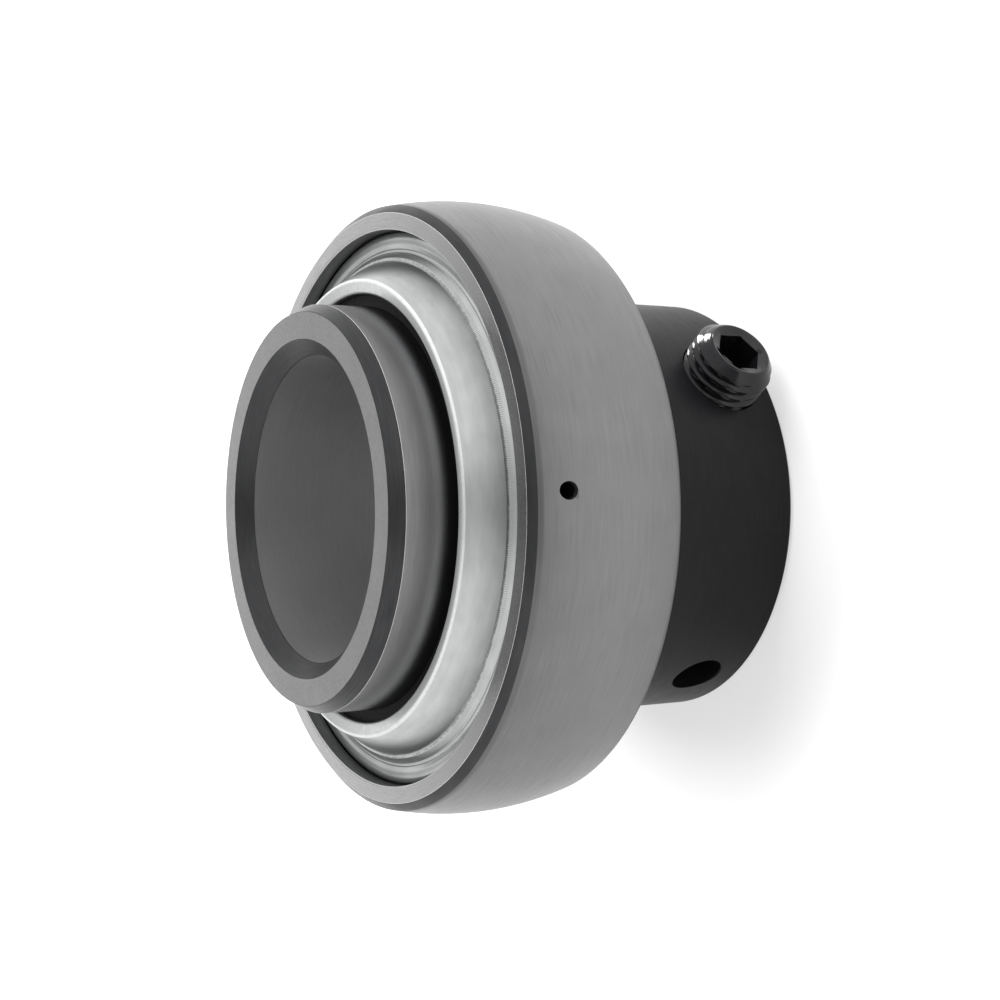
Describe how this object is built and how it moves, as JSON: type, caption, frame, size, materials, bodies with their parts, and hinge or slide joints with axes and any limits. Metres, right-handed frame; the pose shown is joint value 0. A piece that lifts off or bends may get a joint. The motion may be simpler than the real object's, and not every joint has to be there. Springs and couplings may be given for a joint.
{
  "type": "insert bearing",
  "caption": "Deep-groove ball bearing insert with a spherical outside, an extended inner ring, pressed seals and an eccentric locking collar with a set screw.",
  "frame": {"origin": "centre of the spherical outside, on the shaft axis", "axes": "+Z along the shaft axis towards the plain end of the inner ring; +X along the set screw, outwards"},
  "size_m": [0.072, 0.072, 0.0512],
  "materials": {
    "outer_ring_steel": "ground bearing steel with fine circumferential lines, dark turned chamfers",
    "inner_ring_steel": "ground bearing steel, dark turned chamfers and bore",
    "ball_steel": "polished bearing steel",
    "cage_steel": "pressed bright steel strip",
    "rivet_steel": "bright rivets",
    "seal_sheet": "satin galvanised pressed sheet",
    "seal_rubber": "black nitrile rubber",
    "black_oxide": "satin black oxide on steel",
    "screw_black": "oiled black oxide, glossy"
  },
  "bodies": {
    "outer_race": {"outer_ring": "outer_ring_steel", "front_seal_cover": "seal_sheet", "front_seal_lip": "seal_rubber", "front_seal_backing": "seal_sheet", "rear_seal_cover": "seal_sheet", "rear_seal_lip": "seal_rubber", "rear_seal_backing": "seal_sheet"},
    "inner_race": {"inner_ring": "inner_ring_steel"},
    "cage": {"cage_front": "cage_steel", "cage_rear": "cage_steel", "cage_rivets": "rivet_steel"},
    "collar": {"locking_collar": "black_oxide"},
    "screw": {"set_screw": "screw_black"},
    "ball_1_body": {"ball_1": "ball_steel"},
    "ball_2_body": {"ball_2": "ball_steel"},
    "ball_3_body": {"ball_3": "ball_steel"},
    "ball_4_body": {"ball_4": "ball_steel"},
    "ball_5_body": {"ball_5": "ball_steel"},
    "ball_6_body": {"ball_6": "ball_steel"},
    "ball_7_body": {"ball_7": "ball_steel"},
    "ball_8_body": {"ball_8": "ball_steel"},
    "ball_9_body": {"ball_9": "ball_steel"}
  },
  "joints": [
    {"name": "inner_spin", "type": "hinge", "parent": "outer_race", "child": "inner_race", "pos_m": [0, 0, 0], "axis": [0, 0, 1], "continuous": true},
    {"name": "cage_spin", "type": "hinge", "parent": "outer_race", "child": "cage", "pos_m": [0, 0, 0], "axis": [0, 0, 1], "continuous": true},
    {"name": "collar_lock", "type": "hinge", "parent": "inner_race", "child": "collar", "pos_m": [0, 0.0008, -0.026], "axis": [0, 0, 1], "range_deg": [-15, 15]},
    {"name": "set_screw_travel", "type": "slide", "parent": "collar", "child": "screw", "axis": [1, 0, 0], "range_m": [-0.0007, 0.004]},
    {"name": "ball_1_spin", "type": "hinge", "parent": "cage", "child": "ball_1_body", "pos_m": [0.02675, 0, 0], "axis": [0, 0, 1], "continuous": true},
    {"name": "ball_2_spin", "type": "hinge", "parent": "cage", "child": "ball_2_body", "pos_m": [0.02049, 0.01719, 0], "axis": [0, 0, 1], "continuous": true},
    {"name": "ball_3_spin", "type": "hinge", "parent": "cage", "child": "ball_3_body", "pos_m": [0.00465, 0.02634, 0], "axis": [0, 0, 1], "continuous": true},
    {"name": "ball_4_spin", "type": "hinge", "parent": "cage", "child": "ball_4_body", "pos_m": [-0.01337, 0.02317, 0], "axis": [0, 0, 1], "continuous": true},
    {"name": "ball_5_spin", "type": "hinge", "parent": "cage", "child": "ball_5_body", "pos_m": [-0.02514, 0.00915, 0], "axis": [0, 0, 1], "continuous": true},
    {"name": "ball_6_spin", "type": "hinge", "parent": "cage", "child": "ball_6_body", "pos_m": [-0.02514, -0.00915, 0], "axis": [0, 0, 1], "continuous": true},
    {"name": "ball_7_spin", "type": "hinge", "parent": "cage", "child": "ball_7_body", "pos_m": [-0.01337, -0.02317, 0], "axis": [0, 0, 1], "continuous": true},
    {"name": "ball_8_spin", "type": "hinge", "parent": "cage", "child": "ball_8_body", "pos_m": [0.00465, -0.02634, 0], "axis": [0, 0, 1], "continuous": true},
    {"name": "ball_9_spin", "type": "hinge", "parent": "cage", "child": "ball_9_body", "pos_m": [0.02049, -0.01719, 0], "axis": [0, 0, 1], "continuous": true}
  ],
  "couplings": [
    {"joint": "cage_spin", "follows": "inner_spin", "ratio": 0.39626},
    {"joint": "ball_1_spin", "follows": "inner_spin", "ratio": -2.3062},
    {"joint": "ball_2_spin", "follows": "inner_spin", "ratio": -2.3062},
    {"joint": "ball_3_spin", "follows": "inner_spin", "ratio": -2.3062},
    {"joint": "ball_4_spin", "follows": "inner_spin", "ratio": -2.3062},
    {"joint": "ball_5_spin", "follows": "inner_spin", "ratio": -2.3062},
    {"joint": "ball_6_spin", "follows": "inner_spin", "ratio": -2.3062},
    {"joint": "ball_7_spin", "follows": "inner_spin", "ratio": -2.3062},
    {"joint": "ball_8_spin", "follows": "inner_spin", "ratio": -2.3062},
    {"joint": "ball_9_spin", "follows": "inner_spin", "ratio": -2.3062}
  ]
}
